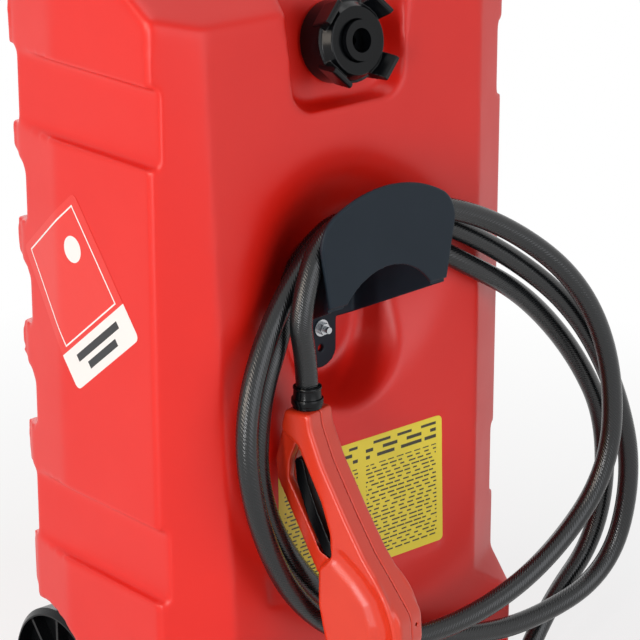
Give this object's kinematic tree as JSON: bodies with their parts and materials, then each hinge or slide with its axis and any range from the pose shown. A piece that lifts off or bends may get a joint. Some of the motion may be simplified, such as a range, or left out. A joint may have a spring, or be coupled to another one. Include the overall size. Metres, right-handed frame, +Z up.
{
  "type": "portable fuel caddy",
  "caption": "Tall red wheeled fuel tank with a lugged filler cap, a black hose hook and a red hand pump on a long coiled black hose.",
  "frame": {"origin": "on the floor, at the middle of the tank's flat foot", "axes": "+Z up, +X to the tank's left-hand side as seen from behind, which is the right in a front view, and -Y towards the front with the hook and the cap"},
  "size_m": [0.5426, 0.425, 0.857],
  "materials": {
    "tank_plastic": "satin, evenly coloured blow-moulded polyethylene",
    "pump_plastic": "smooth moulded",
    "black_plastic": "fine satin moulded",
    "wheel_plastic": "smooth moulded",
    "hose_rubber": "satin with a faint weave",
    "seal_rubber": "matte",
    "steel": "zinc plated",
    "clear_tube": "translucent"
  },
  "bodies": {
    "tank": {"tank_shell": "tank_plastic", "axle": "steel", "axle_spacers": "black_plastic", "axle_washers": "steel", "hub_caps": "steel", "pickup_tube": "clear_tube", "hose_hook": "black_plastic", "hook_studs": "steel", "hook_washers": "steel", "hook_nuts": "steel", "pump_shell_left": "pump_plastic", "pump_shell_right": "pump_plastic", "pump_screws": "steel", "hose_collar": "black_plastic", "pump_spout": "black_plastic", "valve_body": "black_plastic", "pump_duct": "black_plastic", "trigger_pin": "steel", "trigger_spring": "steel", "hose": "hose_rubber", "hose_connector": "black_plastic"},
    "left_wheel": {"wheel_left": "wheel_plastic"},
    "right_wheel": {"wheel_right": "wheel_plastic"},
    "cap_insert": {"cap_port": "black_plastic", "cap_gasket": "seal_rubber"},
    "ring": {"cap_ring": "black_plastic"},
    "trigger": {"pump_trigger": "black_plastic"}
  },
  "joints": [
    {"name": "left_wheel_turn", "type": "hinge", "parent": "tank", "child": "left_wheel", "pos_m": [-0.173, 0.07, 0.07], "axis": [1, 0, 0], "continuous": true},
    {"name": "right_wheel_turn", "type": "hinge", "parent": "tank", "child": "right_wheel", "pos_m": [0.173, 0.07, 0.07], "axis": [1, 0, 0], "continuous": true},
    {"name": "cap_lift", "type": "slide", "parent": "tank", "child": "cap_insert", "axis": [0, -0.9816, 0.1908], "range_m": [0, 0.095]},
    {"name": "ring_turn", "type": "hinge", "parent": "cap_insert", "child": "ring", "pos_m": [0, -0.12363, 0.69882], "axis": [0, -0.9816, 0.1908], "range_deg": [0, 360]},
    {"name": "trigger_pull", "type": "hinge", "parent": "tank", "child": "trigger", "pos_m": [-0.07648, -0.2091, 0.245], "axis": [0.9659, 0.2588, 0], "range_deg": [0, 4.5], "stiffness_Nm_per_rad": 0.8, "springref_deg": -11.46}
  ]
}
